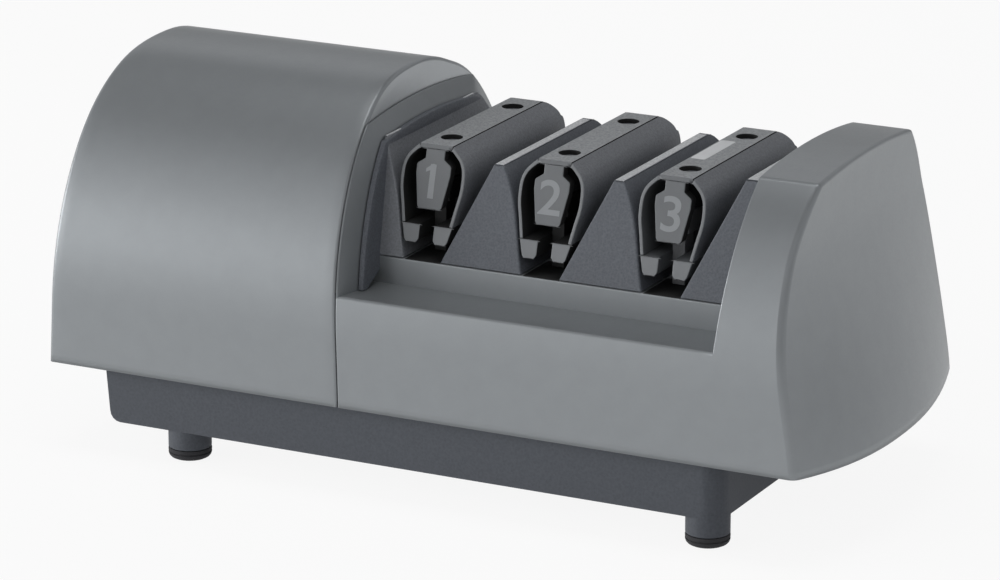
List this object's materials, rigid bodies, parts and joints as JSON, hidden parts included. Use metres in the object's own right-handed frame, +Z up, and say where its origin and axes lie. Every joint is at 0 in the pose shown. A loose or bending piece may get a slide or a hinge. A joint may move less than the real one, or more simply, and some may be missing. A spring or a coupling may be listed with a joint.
{
  "type": "electric knife sharpener",
  "caption": "Electric knife sharpener with a motor dome, a row of sprung guide arches over spinning discs, a bowed end cap and a base tray on short feet.",
  "frame": {"origin": "middle of the overall box, on the surface that the feet stand on", "axes": "+X along the length to the end cap, +Y to the back, +Z up"},
  "size_m": [0.258, 0.118, 0.1188],
  "materials": {
    "housing": "satin grey",
    "guide_plastic": "fine matt texture",
    "cap_plastic": "satin",
    "post_plastic": "matt black",
    "tray_plastic": "fine matt texture",
    "foot_rubber": "matt",
    "label": "plain light patch",
    "disc_abrasive": "fine abrasive coating on steel",
    "spring_steel": "bright wire",
    "shaft_steel": "ground steel",
    "screw_steel": "zinc plated",
    "dark_screw": "blackened",
    "core_laminations": "stacked laminations",
    "winding_copper": "enamelled copper wire",
    "bracket_aluminium": "die cast",
    "bush_bronze": "sintered bronze",
    "black_plastic": "black moulding",
    "grommet_rubber": "matt black"
  },
  "bodies": {
    "appliance": {"motor_housing": "housing", "guide_housing": "housing", "left_knife_guide": "guide_plastic", "knife_guide_1_2": "guide_plastic", "knife_guide_2_3": "guide_plastic", "right_knife_guide": "guide_plastic", "guide_arch_1": "guide_plastic", "guide_arch_2": "guide_plastic", "guide_arch_3": "guide_plastic", "guide_cap_1": "cap_plastic", "guide_cap_2": "cap_plastic", "guide_cap_3": "cap_plastic", "guide_post_1": "post_plastic", "guide_post_2": "post_plastic", "guide_post_3": "post_plastic", "base_tray": "tray_plastic", "rubber_foot_front_left": "foot_rubber", "rubber_foot_rear_left": "foot_rubber", "rubber_foot_front_right": "foot_rubber", "rubber_foot_rear_right": "foot_rubber", "blank_label": "label", "base_screw_front_left": "screw_steel", "base_screw_rear_left": "screw_steel", "base_screw_front_right": "screw_steel", "base_screw_rear_right": "screw_steel", "guide_screw_1_front": "dark_screw", "guide_screw_1_rear": "dark_screw", "guide_screw_2_front": "dark_screw", "guide_screw_2_rear": "dark_screw", "guide_screw_3_front": "dark_screw", "guide_screw_3_rear": "dark_screw", "stator_core": "core_laminations", "field_coil": "winding_copper", "bearing_bracket_left": "bracket_aluminium", "bearing_bracket_right": "bracket_aluminium", "end_bearing_block": "bracket_aluminium", "bearing_bush_left": "bush_bronze", "bearing_bush_right": "bush_bronze", "bearing_bush_end": "bush_bronze", "coil_bobbin": "black_plastic", "switch_body": "black_plastic", "cord_grommet": "grommet_rubber"},
    "rotor": {"drive_shaft": "shaft_steel", "motor_rotor": "core_laminations", "cooling_fan": "black_plastic", "sleeve_left": "shaft_steel", "sleeve_1_2": "shaft_steel", "sleeve_2_3": "shaft_steel", "sleeve_right": "shaft_steel", "disc_spring_1": "spring_steel", "disc_spring_2": "spring_steel", "disc_spring_3": "spring_steel"},
    "disc_1_left": {"sharpening_disc_1_left": "disc_abrasive"},
    "disc_1_right": {"sharpening_disc_1_right": "disc_abrasive"},
    "disc_2_left": {"sharpening_disc_2_left": "disc_abrasive"},
    "disc_2_right": {"sharpening_disc_2_right": "disc_abrasive"},
    "disc_3_left": {"sharpening_disc_3_left": "disc_abrasive"},
    "disc_3_right": {"sharpening_disc_3_right": "disc_abrasive"},
    "rocker": {"switch_rocker": "black_plastic"},
    "cover": {"filings_cover": "tray_plastic"}
  },
  "joints": [
    {"name": "shaft_spin", "type": "hinge", "parent": "appliance", "child": "rotor", "pos_m": [0, 0, 0.0597], "axis": [1, 0, 0], "continuous": true},
    {"name": "disc_1_left_slide", "type": "slide", "parent": "rotor", "child": "disc_1_left", "axis": [1, 0, 0], "range_m": [0, 0.0012], "stiffness_N_per_m": 900, "deforming": ["disc_spring_1"]},
    {"name": "disc_1_right_slide", "type": "slide", "parent": "rotor", "child": "disc_1_right", "axis": [-1, 0, 0], "range_m": [0, 0.0012], "stiffness_N_per_m": 900},
    {"name": "disc_2_left_slide", "type": "slide", "parent": "rotor", "child": "disc_2_left", "axis": [1, 0, 0], "range_m": [0, 0.0012], "stiffness_N_per_m": 900, "deforming": ["disc_spring_2"]},
    {"name": "disc_2_right_slide", "type": "slide", "parent": "rotor", "child": "disc_2_right", "axis": [-1, 0, 0], "range_m": [0, 0.0012], "stiffness_N_per_m": 900},
    {"name": "disc_3_left_slide", "type": "slide", "parent": "rotor", "child": "disc_3_left", "axis": [1, 0, 0], "range_m": [0, 0.0012], "stiffness_N_per_m": 900, "deforming": ["disc_spring_3"]},
    {"name": "disc_3_right_slide", "type": "slide", "parent": "rotor", "child": "disc_3_right", "axis": [-1, 0, 0], "range_m": [0, 0.0012], "stiffness_N_per_m": 900},
    {"name": "switch_rock", "type": "hinge", "parent": "appliance", "child": "rocker", "pos_m": [-0.046, 0.052, 0.0412], "axis": [1, 0, 0], "range_deg": [0, 16]},
    {"name": "cover_slide", "type": "slide", "parent": "appliance", "child": "cover", "axis": [1, 0, 0], "range_m": [0, 0.07]}
  ]
}
